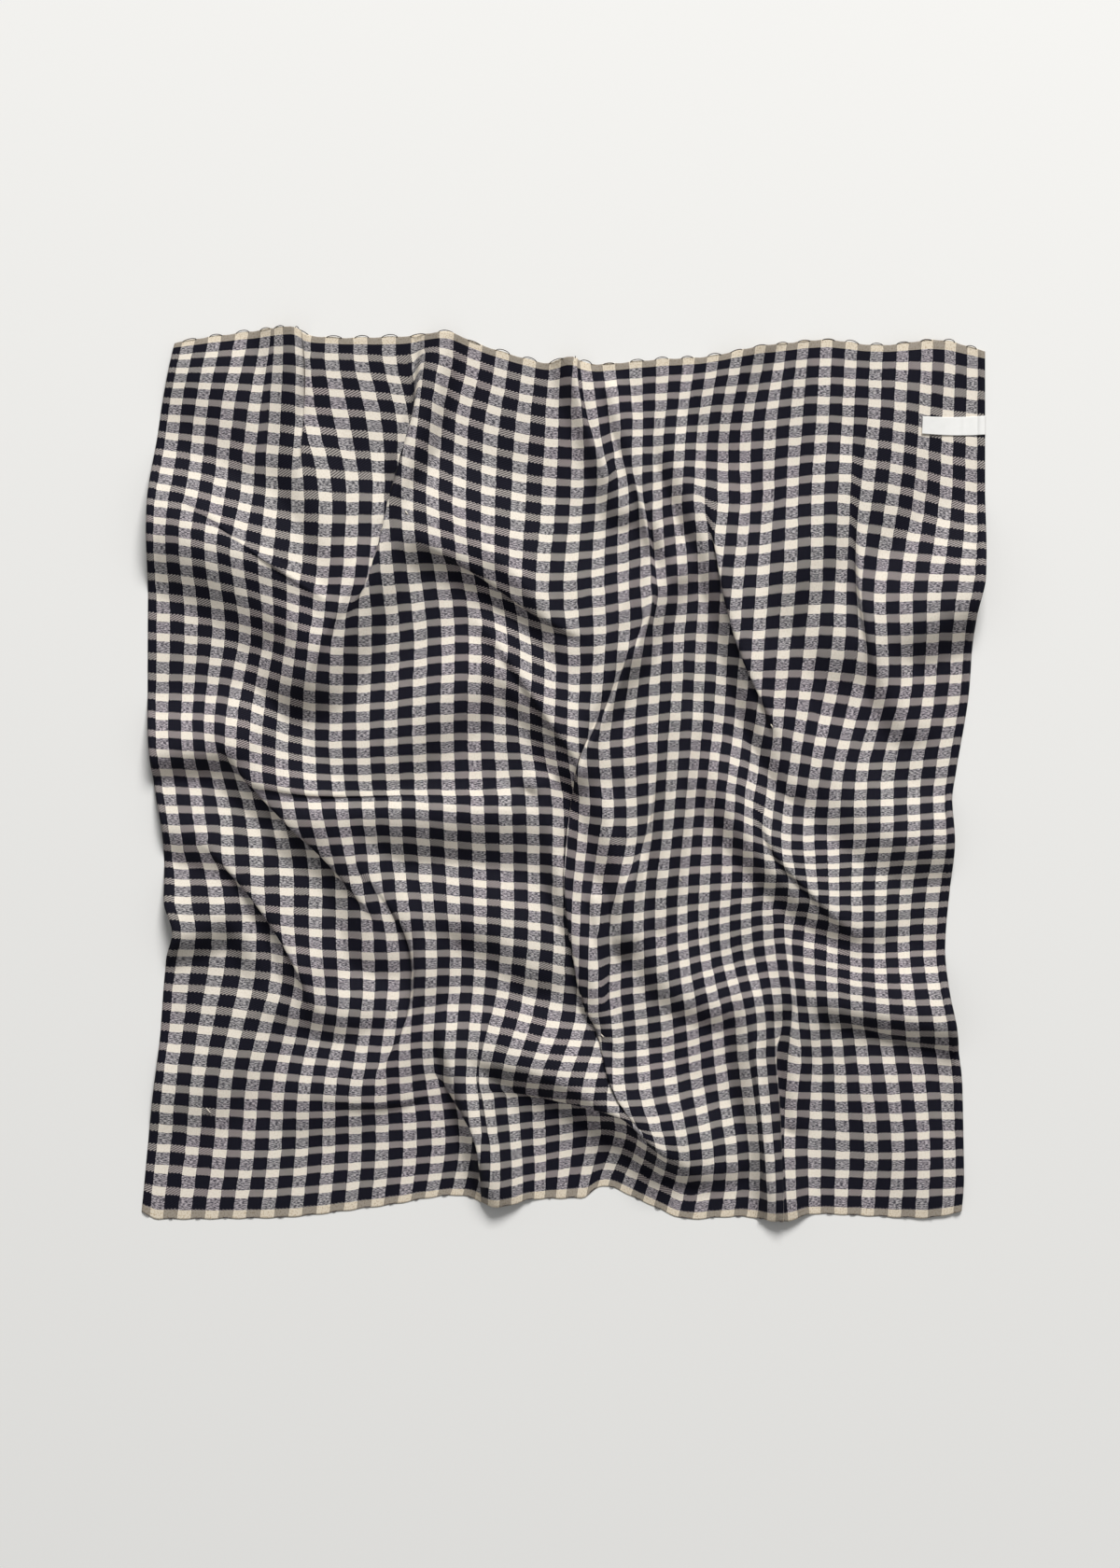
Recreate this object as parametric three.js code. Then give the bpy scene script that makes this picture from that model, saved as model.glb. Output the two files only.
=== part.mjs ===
// A square silk scarf, laid open and rumpled on a table, with a blank woven tab near one corner.
// Millimetres, +Z up. The table is z = 0. The origin is the middle of the scarf's footprint on it.
// +Y points to the edge that is the top one in plan, and +X to the edge with the tab.
import * as THREE from 'three';

// The cloth: its thickness as a solid sheet, and the number of steps across and along it.
const CLOTH_THICKNESS = 1.2;
const STEPS_ACROSS = 52;
const STEPS_ALONG = 54;

// A fold's slopes fade out at this many times their stated reach, where the cloth meets the table.
const SLOPE_FADE = 1.3;
// Where folds cross, the higher one wins, softly: this power sets how softly.
const CROSSING_POWER = 4;
// Straight steps that stand for one curved fold.
const FOLD_STEPS = 12;
// The table carries the cloth wherever the folds would lift it by less than this.
const RESTING_LIFT = 0.6;

// The woven tab: its right end lies level with the side edge, and its left end hangs a little lower.
const TAB_LENGTH = 46;
const TAB_WIDTH = 14.5;
const TAB_THICKNESS = 1;
const TAB_END_X = 314.6;
const TAB_END_Y = 261.4;
const TAB_DROP = 1.8;
const TAB_GAP = 0.3;
const TAB_STEPS_LONG = 12;
const TAB_STEPS_WIDE = 4;

// Finishes: the check seen as one mean colour, and the white tape.
const CHECK_MEAN_COLOUR = 0x77757c;
const CHECK_ROUGHNESS = 0.7;
const TAPE_COLOUR = 0xebebe6;
const TAPE_ROUGHNESS = 0.75;

// The four corners of the outline, as [x, y].
const BOTTOM_LEFT = [-316, -331];
const BOTTOM_RIGHT = [299, -330];
const TOP_LEFT = [-293, 324];
const TOP_RIGHT = [317, 320];

// The side edges as [y, x], and the top and bottom edges as [x, y], each from low to high.
const LEFT_EDGE = [
  [-334, -317], [-260, -310], [-200, -303], [-140, -298], [-119, -292], [-95, -299],
  [-50, -300], [0, -308], [60, -312], [200, -311], [258, -304], [330, -291],
];
const RIGHT_EDGE = [
  [-334, 298], [-302, 300], [-235, 299], [-190, 293], [-162, 288], [-134, 286], [-50, 292],
  [-22, 291], [0, 294], [62, 304], [118, 308], [146, 314], [200, 316], [320, 316],
];
const BOTTOM_EDGE = [
  [-318, -328], [-304, -334], [-220, -333], [-136, -324], [-80, -316], [-48, -324],
  [-24, -319], [14, -318], [29, -309], [60, -321], [95, -334], [130, -332], [165, -335],
  [186, -330], [270, -333], [300, -328],
];
const TOP_EDGE = [
  [-295, 322], [-262, 328], [-203, 334], [-194, 329], [-164, 327], [-122, 328], [-88, 330],
  [-60, 321], [-38, 314], [-10, 308], [4, 312], [18, 307], [74, 311], [112, 313], [158, 322],
  [196, 325], [240, 321], [280, 325], [318, 317],
];

// Each fold is one row: the start, middle and end of its crest in plan, the crest's height at
// those three places, and how far its slopes reach to the left and right of its run.
const FOLD_COLUMNS = [
  'name', 'startX', 'startY', 'middleX', 'middleY', 'endX', 'endY',
  'startHeight', 'middleHeight', 'endHeight', 'leftReach', 'rightReach',
];
const UPPER_LEFT_FOLDS = [
  ['shoulder', -330, 190, -268, 170, -214, 130, 19, 24, 19, 55, 42],
  ['shoulder lip', -276, 187, -228, 162, -180, 132, 10, 27, 26, 8, 30],
  ['peak', -214, 130, -192, 105, -188, 75, 19, 27, 22, 30, 34],
  ['v arm', -190, 78, -166, 122, -138, 185, 24, 29, 16, 40, 34],
  ['v ridge', -136, 190, -110, 250, -88, 350, 16, 18, 14, 15, 17],
  ['v pinch', -128, 232, -108, 290, -104, 330, 13, 11, 6, 5, 12],
  ['v field', -200, 240, -186, 205, -178, 175, 8, 10, 11, 34, 26],
  ['pleat', -200, 350, -201, 290, -212, 240, 16, 14, 5, 7, 30],
  ['top left swell', -290, 300, -255, 290, -225, 250, 5, 6, 5, 40, 40],
];
const CENTRE_FOLDS = [
  ['saddle', -132, 178, -66, 164, 4, 100, 14, 21, 13, 60, 24],
  ['saddle crest', -76, 178, -40, 152, -8, 116, 10, 22, 13, 12, 14],
  ['saddle tail', 0, 105, 8, 60, 6, 15, 13, 10, 13, 24, 24],
  ['centre diagonal', -50, 80, -18, 52, 10, 8, 14, 19, 18, 40, 20],
  ['centre branch', -150, -10, -110, 38, -50, 80, 6, 13, 14, 40, 32],
  ['long wall', -194, -30, -120, -25, -40, -26, 21, 26, 19, 12, 42],
  ['wall end', -60, -27, -30, -24, -6, -40, 18, 14, 10, 14, 30],
  ['s top', 0, 330, 20, 268, 44, 200, 11, 13, 10, 15, 17],
  ['s middle', 36, 285, 56, 225, 84, 150, 10, 14, 14, 14, 14],
  ['s turn', 86, 160, 62, 128, 46, 92, 11, 19, 18, 22, 18],
  ['s foot', 46, 92, 26, 62, 8, 6, 18, 18, 19, 22, 18],
];
const LEFT_FOLDS = [
  ['left brow', -330, 10, -280, 18, -244, 20, 16, 18, 19, 40, 20],
  ['left slope', -246, 21, -222, -6, -192, -32, 19, 18, 19, 38, 26],
  ['left tail', -192, -32, -160, -65, -142, -125, 19, 18, 10, 34, 26],
  ['left lower', -300, -35, -240, -76, -196, -145, 11, 16, 16, 34, 22],
  ['left lower tail', -196, -145, -182, -172, -150, -180, 16, 13, 8, 30, 22],
  ['left bump', -330, -120, -290, -119, -256, -106, 21, 19, 16, 45, 22],
  ['left bump tail', -256, -106, -232, -130, -226, -165, 14, 10, 6, 18, 18],
  ['left foot', -300, -238, -270, -232, -240, -190, 6, 10, 8, 40, 36],
];
const RIGHT_FOLDS = [
  ['right crest', 84, 235, 114, 160, 138, 85, 10, 19, 18, 40, 17],
  ['right crest low', 138, 85, 150, 45, 168, -2, 18, 18, 11, 34, 17],
  ['right low crest', 120, -10, 150, -58, 216, -112, 11, 18, 14, 40, 20],
  ['right low tail', 212, -105, 222, -130, 224, -160, 13, 8, 6, 22, 22],
  ['right edge', 228, 98, 268, 116, 335, 142, 13, 24, 29, 60, 32],
  ['right thread', 222, 190, 230, 112, 256, 40, 6, 14, 10, 26, 18],
  ['right soft', 146, 120, 176, 160, 206, 215, 11, 14, 10, 44, 36],
  ['right bar', 196, 10, 222, -28, 340, -40, 8, 13, 18, 36, 30],
  ['narrow rib', 94, 40, 82, -30, 72, -110, 8, 13, 13, 14, 15],
  ['top swell', 146, 340, 120, 290, 106, 240, 13, 13, 8, 24, 22],
  ['top mid swell', 196, 340, 192, 280, 190, 230, 5, 6, 5, 26, 26],
  ['top right swell', 262, 340, 242, 250, 226, 185, 6, 11, 8, 40, 34],
];
const LOWER_FOLDS = [
  ['thin ridge', -122, -88, -106, -150, -124, -200, 10, 11, 8, 10, 13],
  ['low swell', -112, -106, -74, -108, -24, -140, 11, 14, 10, 40, 24],
  ['low branch', -96, -112, -97, -140, -98, -172, 10, 10, 5, 16, 16],
  ['wave one', -240, -180, -178, -172, -120, -186, 6, 10, 6, 30, 22],
  ['wave two', -190, -240, -148, -230, -118, -196, 8, 13, 10, 34, 36],
  ['long crease', -18, -10, 12, -120, 62, -262, 13, 14, 19, 14, 15],
  ['crease side', 26, -10, 42, -60, 48, -120, 11, 16, 18, 16, 20],
  ['crease foot', 24, -95, 30, -140, 40, -200, 13, 11, 8, 12, 12],
  ['bottom tube', -90, -200, -72, -252, -46, -350, 14, 24, 26, 30, 10],
  ['bottom fold', -62, -212, 6, -232, 70, -278, 16, 29, 26, 46, 17],
  ['bottom fold tail', 68, -276, 96, -290, 124, -290, 26, 19, 11, 44, 20],
];
const LOWER_RIGHT_FOLDS = [
  ['low bar', 62, -120, 90, -165, 135, -174, 11, 11, 8, 34, 18],
  ['right low left', 120, -176, 150, -172, 182, -166, 8, 8, 11, 30, 18],
  ['right low', 180, -165, 240, -178, 335, -198, 11, 21, 21, 46, 19],
  ['rib', 138, -170, 146, -240, 166, -350, 16, 21, 24, 16, 18],
  ['short rib', 190, -140, 178, -195, 172, -260, 10, 13, 8, 14, 14],
  ['rib two', 168, -280, 172, -310, 176, -350, 10, 14, 16, 12, 12],
  ['corner', 290, -330, 260, -290, 240, -240, 5, 6, 6, 40, 40],
];

// A row of a table as an object with the table's named columns.
function named(row) {
  return Object.fromEntries(FOLD_COLUMNS.map((column, index) => [column, row[index]]));
}

// The parabola that starts at a, ends at c and passes through b at the share m of its length.
function throughThree(a, b, c, m, t) {
  const pull = (b - (1 - m) ** 2 * a - m * m * c) / (2 * m * (1 - m));
  return (1 - t) ** 2 * a + 2 * t * (1 - t) * pull + t * t * c;
}

// A fold's crest in plan as short straight steps, with the box that its slopes stay inside.
function crestOf(fold) {
  const first = Math.hypot(fold.middleX - fold.startX, fold.middleY - fold.startY);
  const second = Math.hypot(fold.endX - fold.middleX, fold.endY - fold.middleY);
  const share = first / (first + second);
  const points = [];
  for (let step = 0; step <= FOLD_STEPS; step += 1) {
    const t = step / FOLD_STEPS;
    points.push([
      throughThree(fold.startX, fold.middleX, fold.endX, share, t),
      throughThree(fold.startY, fold.middleY, fold.endY, share, t),
    ]);
  }
  const margin = SLOPE_FADE * Math.max(fold.leftReach, fold.rightReach);
  const xs = points.map((point) => point[0]);
  const ys = points.map((point) => point[1]);
  return {
    ...fold,
    points,
    lowX: Math.min(...xs) - margin,
    highX: Math.max(...xs) + margin,
    lowY: Math.min(...ys) - margin,
    highY: Math.max(...ys) + margin,
  };
}

// The nearest place on a crest: its distance, its share of the run, and its side, from -1, right, to 1, left.
function nearestOnCrest(crest, x, y) {
  let best = { distance: Infinity, share: 0, side: 0 };
  for (let step = 0; step < FOLD_STEPS; step += 1) {
    const [ax, ay] = crest.points[step];
    const [bx, by] = crest.points[step + 1];
    const ex = bx - ax;
    const ey = by - ay;
    const length = Math.hypot(ex, ey);
    const along = ((x - ax) * ex + (y - ay) * ey) / (length * length);
    const s = Math.min(Math.max(along, 0), 1);
    const dx = x - ax - s * ex;
    const dy = y - ay - s * ey;
    const distance = Math.hypot(dx, dy);
    if (distance < best.distance) {
      const across = (ex * dy - ey * dx) / length;
      const side = distance > 0 ? across / distance : 0;
      best = { distance, share: (step + s) / FOLD_STEPS, side };
    }
  }
  return best;
}

// The lift of one fold at a place: the crest's height there, times a half-cosine of the distance from it.
function liftOf(crest, x, y) {
  if (x < crest.lowX || x > crest.highX || y < crest.lowY || y > crest.highY) {
    return 0;
  }
  const near = nearestOnCrest(crest, x, y);
  const turn = 0.5 * (1 + near.side);
  const blend = turn * turn * (3 - 2 * turn);
  const reach = crest.rightReach + (crest.leftReach - crest.rightReach) * blend;
  const fade = Math.min(near.distance / (SLOPE_FADE * reach), 1);
  const t = near.share;
  const start = crest.startHeight * (1 - t) * (1 - 2 * t);
  const middle = crest.middleHeight * 4 * t * (1 - t);
  const end = crest.endHeight * t * (2 * t - 1);
  const height = Math.max(start + middle + end, 0);
  return height * 0.5 * (1 + Math.cos(Math.PI * fade));
}

const crests = [
  ...UPPER_LEFT_FOLDS,
  ...CENTRE_FOLDS,
  ...LEFT_FOLDS,
  ...RIGHT_FOLDS,
  ...LOWER_FOLDS,
  ...LOWER_RIGHT_FOLDS,
].map((row) => crestOf(named(row)));

// How high the underside of the cloth stands over the table at a place in plan.
function undersideHeight(x, y) {
  let sum = 0;
  for (const crest of crests) {
    sum += liftOf(crest, x, y) ** CROSSING_POWER;
  }
  return Math.max(sum ** (1 / CROSSING_POWER) - RESTING_LIFT, 0);
}

// A smooth curve through the rows of an edge table that never swings past a row.
function edgeValue(rows, at) {
  const last = rows.length - 2;
  let k = 0;
  while (k < last && rows[k + 1][0] < at) {
    k += 1;
  }
  const slope = (index) => {
    const [p, q] = [rows[index], rows[index + 1]];
    return (q[1] - p[1]) / (q[0] - p[0]);
  };
  const tangent = (index) => {
    if (index === 0) {
      return slope(0);
    }
    if (index === rows.length - 1) {
      return slope(last);
    }
    const before = slope(index - 1);
    const after = slope(index);
    return before * after > 0 ? (2 * before * after) / (before + after) : 0;
  };
  const span = rows[k + 1][0] - rows[k][0];
  const t = Math.min(Math.max((at - rows[k][0]) / span, 0), 1);
  const fromStart = rows[k][1] * (1 + 2 * t) * (1 - t) ** 2;
  const fromEnd = rows[k + 1][1] * t * t * (3 - 2 * t);
  const startTurn = span * tangent(k) * t * (1 - t) ** 2;
  const endTurn = span * tangent(k + 1) * t * t * (t - 1);
  return fromStart + startTurn + fromEnd + endTurn;
}

function mix(a, b, t) {
  return a + (b - a) * t;
}

// A place in plan from its shares across and along the cloth: the four edges blended into a patch.
function planPoint(s, t) {
  const yOnLeft = mix(BOTTOM_LEFT[1], TOP_LEFT[1], t);
  const yOnRight = mix(BOTTOM_RIGHT[1], TOP_RIGHT[1], t);
  const xOnBottom = mix(BOTTOM_LEFT[0], BOTTOM_RIGHT[0], s);
  const xOnTop = mix(TOP_LEFT[0], TOP_RIGHT[0], s);
  const left = [edgeValue(LEFT_EDGE, yOnLeft), yOnLeft];
  const right = [edgeValue(RIGHT_EDGE, yOnRight), yOnRight];
  const bottom = [xOnBottom, edgeValue(BOTTOM_EDGE, xOnBottom)];
  const top = [xOnTop, edgeValue(TOP_EDGE, xOnTop)];
  return [0, 1].map((axis) => {
    const sides = mix(left[axis], right[axis], s);
    const ends = mix(bottom[axis], top[axis], t);
    const lowCorners = mix(BOTTOM_LEFT[axis], BOTTOM_RIGHT[axis], s);
    const highCorners = mix(TOP_LEFT[axis], TOP_RIGHT[axis], s);
    return sides + ends - mix(lowCorners, highCorners, t);
  });
}

// A closed sheet between a lower and an upper grid of points, rows by columns, with walls round its rim.
// Each cell is split along the diagonal whose ends are nearer in height, so that edges follow the crests.
function closedSheet(lower, upper, columns, rows) {
  const perRow = columns + 1;
  const layer = perRow * (rows + 1);
  const at = (column, row) => row * perRow + column;
  const indices = [];
  const quad = (a, b, c, d) => indices.push(a, b, c, a, c, d);
  for (let row = 0; row < rows; row += 1) {
    for (let column = 0; column < columns; column += 1) {
      const a = at(column, row);
      const b = at(column + 1, row);
      const c = at(column + 1, row + 1);
      const d = at(column, row + 1);
      if (Math.abs(lower[a][2] - lower[c][2]) <= Math.abs(lower[b][2] - lower[d][2])) {
        quad(a + layer, b + layer, c + layer, d + layer);
        quad(a, d, c, b);
      } else {
        quad(b + layer, c + layer, d + layer, a + layer);
        quad(d, c, b, a);
      }
    }
  }
  for (let column = 0; column < columns; column += 1) {
    quad(at(column, 0), at(column + 1, 0), at(column + 1, 0) + layer, at(column, 0) + layer);
    quad(at(column + 1, rows), at(column, rows), at(column, rows) + layer, at(column + 1, rows) + layer);
  }
  for (let row = 0; row < rows; row += 1) {
    quad(at(0, row + 1), at(0, row), at(0, row) + layer, at(0, row + 1) + layer);
    quad(at(columns, row), at(columns, row + 1), at(columns, row + 1) + layer, at(columns, row) + layer);
  }
  const geometry = new THREE.BufferGeometry();
  const points = [...lower, ...upper].flat();
  geometry.setAttribute('position', new THREE.Float32BufferAttribute(points, 3));
  geometry.setIndex(indices);
  geometry.computeVertexNormals();
  return geometry;
}

// A grid of points moved along the surface's own upward direction.
function raised(points, columns, rows, thickness) {
  const perRow = columns + 1;
  return points.map((point, index) => {
    const column = index % perRow;
    const row = Math.floor(index / perRow);
    const west = points[index - (column > 0 ? 1 : 0)];
    const east = points[index + (column < columns ? 1 : 0)];
    const south = points[index - (row > 0 ? perRow : 0)];
    const north = points[index + (row < rows ? perRow : 0)];
    const across = new THREE.Vector3(...east).sub(new THREE.Vector3(...west));
    const along = new THREE.Vector3(...north).sub(new THREE.Vector3(...south));
    const up = across.cross(along).normalize().multiplyScalar(thickness);
    return [point[0] + up.x, point[1] + up.y, point[2] + up.z];
  });
}

// The cloth, whose rolled side hems and end bands are part of the one sheet.
function makeClothGeometry() {
  const lower = [];
  for (let row = 0; row <= STEPS_ALONG; row += 1) {
    for (let column = 0; column <= STEPS_ACROSS; column += 1) {
      const [x, y] = planPoint(column / STEPS_ACROSS, row / STEPS_ALONG);
      lower.push([x, y, undersideHeight(x, y)]);
    }
  }
  const upper = raised(lower, STEPS_ACROSS, STEPS_ALONG, CLOTH_THICKNESS);
  return closedSheet(lower, upper, STEPS_ACROSS, STEPS_ALONG);
}

// The height of the top of the faceted cloth at a place in plan.
function clothTopHeight(cloth, x, y) {
  const position = cloth.getAttribute('position');
  const index = cloth.getIndex();
  let height = -Infinity;
  for (let first = 0; first < index.count; first += 3) {
    const [a, b, c] = [0, 1, 2].map((corner) => {
      return new THREE.Vector3().fromBufferAttribute(position, index.getX(first + corner));
    });
    const area = (b.x - a.x) * (c.y - a.y) - (c.x - a.x) * (b.y - a.y);
    const shareB = ((x - a.x) * (c.y - a.y) - (c.x - a.x) * (y - a.y)) / area;
    const shareC = ((b.x - a.x) * (y - a.y) - (x - a.x) * (b.y - a.y)) / area;
    if (shareB >= 0 && shareC >= 0 && shareB + shareC <= 1) {
      height = Math.max(height, a.z + shareB * (b.z - a.z) + shareC * (c.z - a.z));
    }
  }
  return height;
}

// The woven tab, a short flat strip that follows the top of the cloth just above it.
function makeTabGeometry(cloth) {
  const lower = [];
  const upper = [];
  for (let row = 0; row <= TAB_STEPS_WIDE; row += 1) {
    for (let column = 0; column <= TAB_STEPS_LONG; column += 1) {
      const back = TAB_LENGTH * (1 - column / TAB_STEPS_LONG);
      const x = TAB_END_X - back;
      const middle = TAB_END_Y - TAB_DROP * (back / TAB_LENGTH);
      const y = middle + TAB_WIDTH * (row / TAB_STEPS_WIDE - 0.5);
      const z = clothTopHeight(cloth, x, y) + TAB_GAP;
      lower.push([x, y, z]);
      upper.push([x, y, z + TAB_THICKNESS]);
    }
  }
  return closedSheet(lower, upper, TAB_STEPS_LONG, TAB_STEPS_WIDE);
}

// A matte woven finish in one colour, shown with its facets.
function wovenMaterial(color, roughness) {
  return new THREE.MeshStandardMaterial({ color, roughness, metalness: 0, flatShading: true });
}

const silk = wovenMaterial(CHECK_MEAN_COLOUR, CHECK_ROUGHNESS);
const tape = wovenMaterial(TAPE_COLOUR, TAPE_ROUGHNESS);

const clothGeometry = makeClothGeometry();
const tabGeometry = makeTabGeometry(clothGeometry);

const cloth = new THREE.Mesh(clothGeometry, silk);
cloth.name = 'scarf_cloth';
const tab = new THREE.Mesh(tabGeometry, tape);
tab.name = 'label_tab';

// The footprint's middle goes to the origin.
clothGeometry.computeBoundingBox();
const middle = clothGeometry.boundingBox.getCenter(new THREE.Vector3());
const scarf = new THREE.Group();
for (const mesh of [cloth, tab]) {
  mesh.position.set(-middle.x, -middle.y, 0);
  scarf.add(mesh);
}

export default scarf;
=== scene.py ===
# %% [markdown]
# # A checked silk scarf, laid open and rumpled
# The real object is one woven square of light silk twill, about 70 cm a side, in a small
# check of cream and navy yarns. It lies on a table, pushed into soft folds, and a short
# woven tape is sewn near its top right corner. The solid model already holds its outline
# and its main folds. This script dresses that model: it lays a thin cloth over the same
# folds, weaves the check along the cloth's own threads, and adds the edges and the yarns.

# %% Load the fixed frame
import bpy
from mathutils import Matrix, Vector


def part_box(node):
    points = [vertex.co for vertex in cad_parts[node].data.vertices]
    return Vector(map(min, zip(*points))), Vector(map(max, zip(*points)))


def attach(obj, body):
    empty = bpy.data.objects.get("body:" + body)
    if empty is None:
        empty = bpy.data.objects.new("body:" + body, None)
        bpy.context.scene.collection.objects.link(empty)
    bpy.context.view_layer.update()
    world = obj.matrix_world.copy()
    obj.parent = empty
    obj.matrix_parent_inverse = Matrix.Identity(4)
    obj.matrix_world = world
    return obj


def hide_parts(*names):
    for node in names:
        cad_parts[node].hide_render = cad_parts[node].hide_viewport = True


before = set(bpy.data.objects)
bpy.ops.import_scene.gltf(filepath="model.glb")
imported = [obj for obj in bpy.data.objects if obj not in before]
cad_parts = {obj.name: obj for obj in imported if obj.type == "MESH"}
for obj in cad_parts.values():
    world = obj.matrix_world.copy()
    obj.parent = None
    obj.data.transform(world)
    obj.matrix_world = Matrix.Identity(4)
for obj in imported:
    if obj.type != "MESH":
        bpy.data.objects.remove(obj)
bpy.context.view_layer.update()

# %% Libraries and units
import math
from collections import namedtuple

import bpy
import numpy as np

MM = 0.001   # a millimetre in metres
SEED = 7
TINY = 1e-6   # keeps a division or a logarithm away from zero

# %% [markdown]
# ## The weave sets the size
# A weaver counts threads, so the cloth is counted first. The check has 34 cream warp
# stripes and 48 cream weft stripes. Each stripe's width is named once, and the flat size
# of the scarf follows from the counts. The navy stripes at the two sides are narrower,
# because the hem rolls part of them under.

# %% The check and the flat cloth
CREAM_COLUMNS = 34
CREAM_ROWS = 48
CREAM_COLUMN = 10.3
NAVY_COLUMN = 10.3
SIDE_COLUMN = 6.3
CREAM_ROW = 6.15
NAVY_ROW = 9.2
THREAD_PITCH = 0.43

COLUMN_REPEAT = CREAM_COLUMN + NAVY_COLUMN
ROW_REPEAT = CREAM_ROW + NAVY_ROW
FLAT_WIDTH = CREAM_COLUMNS * CREAM_COLUMN + (CREAM_COLUMNS - 1) * NAVY_COLUMN + 2 * SIDE_COLUMN
FLAT_LENGTH = CREAM_ROWS * CREAM_ROW + (CREAM_ROWS - 1) * NAVY_ROW
print(f"flat cloth {FLAT_WIDTH:.1f} by {FLAT_LENGTH:.1f} mm")

# %% [markdown]
# ## The outline in plan
# The edges of the laid cloth wander by a few millimetres, in and out, where folds reach
# them. A free curve could be drawn over a picture, but a short table is easier to mend.
# Each row is a place where the edge turns, chosen by hand on the outline that a small
# script found in the photograph, and a curve that never swings past its rows joins them.

# %% Edge tables, in millimetres from the middle of the photograph's scarf
LEFT_EDGE = (   # y, x
    (-334, -317), (-260, -310), (-200, -303), (-140, -298), (-119, -292), (-95, -299),
    (-50, -300), (0, -308), (60, -312), (200, -311), (258, -304), (330, -291),
)
RIGHT_EDGE = (   # y, x
    (-334, 298), (-302, 300), (-235, 299), (-190, 293), (-162, 288), (-134, 286),
    (-50, 292), (-22, 291), (0, 294), (62, 304), (118, 308), (146, 314), (200, 316), (320, 316),
)
BOTTOM_EDGE = (   # x, y
    (-318, -328), (-304, -334), (-220, -333), (-136, -324), (-80, -316), (-48, -324),
    (-24, -319), (14, -318), (29, -309), (60, -321), (95, -334), (130, -332), (165, -335),
    (186, -330), (270, -333), (300, -328),
)
TOP_EDGE = (   # x, y
    (-295, 322), (-262, 328), (-203, 334), (-194, 329), (-164, 327), (-122, 328), (-88, 330),
    (-60, 321), (-38, 314), (-10, 308), (4, 312), (18, 307), (74, 311), (112, 313),
    (158, 322), (196, 325), (240, 321), (280, 325), (318, 317),
)


def edge_value(at, rows):
    """A cubic between neighbouring rows whose slope at a row is the harmonic mean of the
    slopes on its two sides, or level where they differ in sign, so it never overshoots."""
    x, y = np.array(rows, float).T
    span = np.diff(x)
    slope = np.diff(y) / span
    same_way = slope[1:] * slope[:-1] > 0
    total = np.where(same_way, slope[1:] + slope[:-1], 1.0)
    inner = np.where(same_way, 2 * slope[1:] * slope[:-1] / total, 0.0)
    tangent = np.concatenate([slope[:1], inner, slope[-1:]])
    k = np.clip(np.searchsorted(x, at) - 1, 0, len(span) - 1)
    t = np.clip((at - x[k]) / span[k], 0, 1)
    ends = y[k] * (1 + 2 * t) * (1 - t) ** 2 + y[k + 1] * t * t * (3 - 2 * t)
    turns = tangent[k] * t * (1 - t) ** 2 + tangent[k + 1] * t * t * (t - 1)
    return ends + span[k] * turns


def mix(a, b, t):
    """a at t = 0 and b at t = 1, in a straight line."""
    return a + (b - a) * t


# %% [markdown]
# ## The folds
# Rumpled cloth is a landscape of soft ridges that stand on the table. A simulated cloth
# would fall into ridges of its own, so each fold here is given as one row: where its crest
# runs in plan, how high it is at its start, middle and end, and how far its slopes reach
# to either side. A short reach makes a steep wall, and a long one a lazy slope. The same
# rows shape the solid model, so the cloth lies on it.

# %% Fold tables, in millimetres
Fold = namedtuple("Fold", (
    "name", "start_x", "start_y", "middle_x", "middle_y", "end_x", "end_y",
    "start_height", "middle_height", "end_height", "left_reach", "right_reach",
))
UPPER_LEFT_FOLDS = (
    ("shoulder", -330, 190, -268, 170, -214, 130, 19, 24, 19, 55, 42),
    ("shoulder lip", -276, 187, -228, 162, -180, 132, 10, 27, 26, 8, 30),
    ("peak", -214, 130, -192, 105, -188, 75, 19, 27, 22, 30, 34),
    ("v arm", -190, 78, -166, 122, -138, 185, 24, 29, 16, 40, 34),
    ("v ridge", -136, 190, -110, 250, -88, 350, 16, 18, 14, 15, 17),
    ("v pinch", -128, 232, -108, 290, -104, 330, 13, 11, 6, 5, 12),
    ("v field", -200, 240, -186, 205, -178, 175, 8, 10, 11, 34, 26),
    ("pleat", -200, 350, -201, 290, -212, 240, 16, 14, 5, 7, 30),
    ("top left swell", -290, 300, -255, 290, -225, 250, 5, 6, 5, 40, 40),
)
CENTRE_FOLDS = (
    ("saddle", -132, 178, -66, 164, 4, 100, 14, 21, 13, 60, 24),
    ("saddle crest", -76, 178, -40, 152, -8, 116, 10, 22, 13, 12, 14),
    ("saddle tail", 0, 105, 8, 60, 6, 15, 13, 10, 13, 24, 24),
    ("centre diagonal", -50, 80, -18, 52, 10, 8, 14, 19, 18, 40, 20),
    ("centre branch", -150, -10, -110, 38, -50, 80, 6, 13, 14, 40, 32),
    ("long wall", -194, -30, -120, -25, -40, -26, 21, 26, 19, 12, 42),
    ("wall end", -60, -27, -30, -24, -6, -40, 18, 14, 10, 14, 30),
    ("s top", 0, 330, 20, 268, 44, 200, 11, 13, 10, 15, 17),
    ("s middle", 36, 285, 56, 225, 84, 150, 10, 14, 14, 14, 14),
    ("s turn", 86, 160, 62, 128, 46, 92, 11, 19, 18, 22, 18),
    ("s foot", 46, 92, 26, 62, 8, 6, 18, 18, 19, 22, 18),
)
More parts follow.
